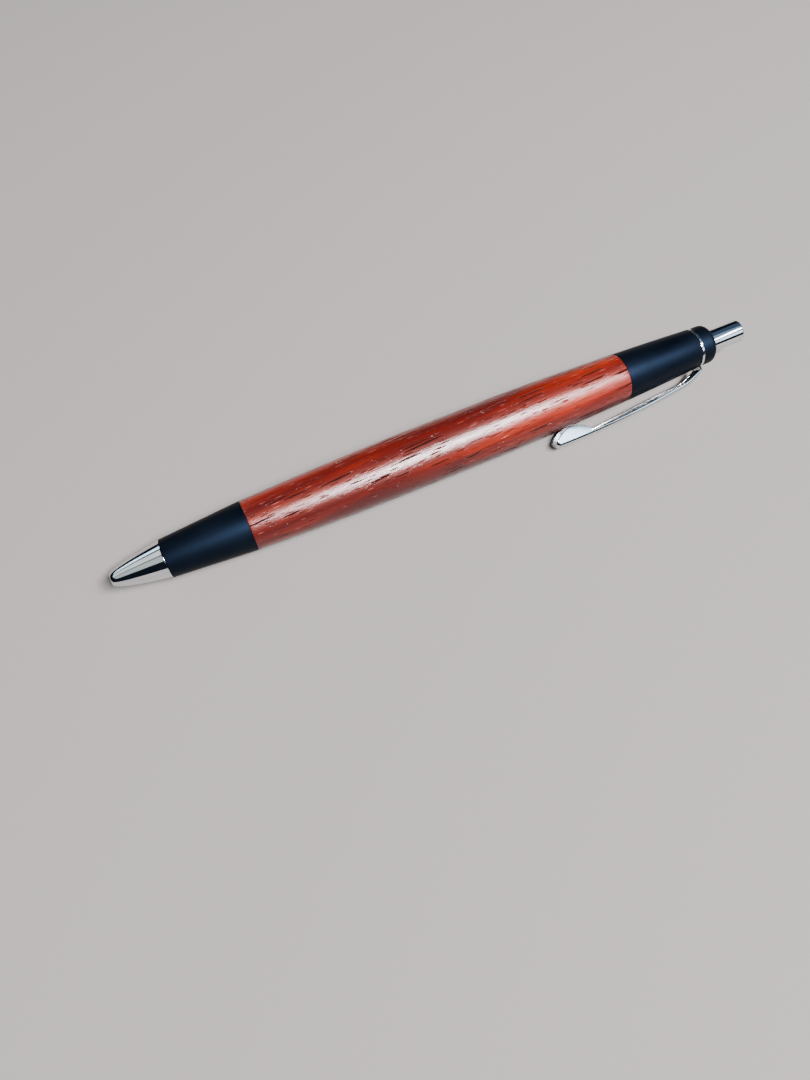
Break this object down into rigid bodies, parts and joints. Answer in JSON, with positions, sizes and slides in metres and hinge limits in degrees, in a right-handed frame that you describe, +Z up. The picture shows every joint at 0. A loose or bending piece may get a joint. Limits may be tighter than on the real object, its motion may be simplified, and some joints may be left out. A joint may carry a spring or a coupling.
{
  "type": "rollerball pen",
  "caption": "Retractable pen with a swelling wooden sleeve between satin black shells, bright nose, spring clip and push button, and a refill inside.",
  "frame": {"origin": "on the table under the middle of the pen's overall length and width, as it lies with its clip on the table", "axes": "+X along the pen from its tip to its push button, +Z up, -Y to the side that the clip is on"},
  "size_m": [0.1368, 0.0138, 0.0116],
  "materials": {
    "chrome_plating": "mirror bright",
    "black_lacquer": "satin",
    "stained_wood": "satin lacquer over red wood with short dark pores",
    "brass": "turned",
    "stainless_steel": "bright drawn",
    "tungsten_carbide": "polished",
    "grey_acetal": "moulded",
    "white_polypropylene": "moulded",
    "clear_polypropylene": "translucent",
    "black_ink": "wet",
    "clear_grease": "wet"
  },
  "bodies": {
    "barrel": {"front_collar": "black_lacquer", "wood_sleeve": "stained_wood", "inner_liner": "brass", "front_bush": "brass", "rear_bush": "brass", "rear_shell": "black_lacquer", "clip_ring": "chrome_plating", "end_cap": "black_lacquer", "cam_guide": "grey_acetal", "return_spring": "stainless_steel"},
    "nose": {"nose_cone": "chrome_plating"},
    "clip": {"clip_arm": "chrome_plating"},
    "plunger": {"push_button": "chrome_plating", "thrust_cam": "grey_acetal"},
    "refill": {"writing_point": "stainless_steel", "point_holder": "white_polypropylene", "refill_tube": "clear_polypropylene", "refill_ink": "black_ink", "ink_follower": "clear_grease", "refill_end_plug": "white_polypropylene"},
    "rotor": {"rotor_cam": "grey_acetal"},
    "ball": {"writing_ball": "tungsten_carbide"}
  },
  "joints": [
    {"name": "button_slide", "type": "slide", "parent": "barrel", "child": "plunger", "axis": [-1, 0, 0], "range_m": [0, 0.0065], "stiffness_N_per_m": 250, "springref_m": -0.006, "deforming": ["return_spring"]},
    {"name": "refill_slide", "type": "slide", "parent": "barrel", "child": "refill", "axis": [-1, 0, 0], "range_m": [0, 0.0065]},
    {"name": "rotor_turn", "type": "hinge", "parent": "refill", "child": "rotor", "pos_m": [0.0425, 0.00114, 0.00578], "axis": [1, 0, 0], "range_deg": [0, 22.5]},
    {"name": "ball_roll", "type": "hinge", "parent": "refill", "child": "ball", "pos_m": [-0.06565, 0.00114, 0.00578], "axis": [0, 1, 0], "continuous": true},
    {"name": "clip_flex", "type": "hinge", "parent": "barrel", "child": "clip", "pos_m": [0.05685, -0.00264, 0.00343], "axis": [0, -0.528, 0.8493], "range_deg": [0, 6], "stiffness_Nm_per_rad": 0.5, "springref_deg": -3.44},
    {"name": "nose_unscrew", "type": "slide", "parent": "barrel", "child": "nose", "axis": [-1, 0, 0], "range_m": [0, 0.03]}
  ],
  "couplings": [
    {"joint": "refill_slide", "follows": "button_slide", "ratio": 1},
    {"joint": "rotor_turn", "follows": "button_slide", "rad_per_m": 60.415}
  ]
}
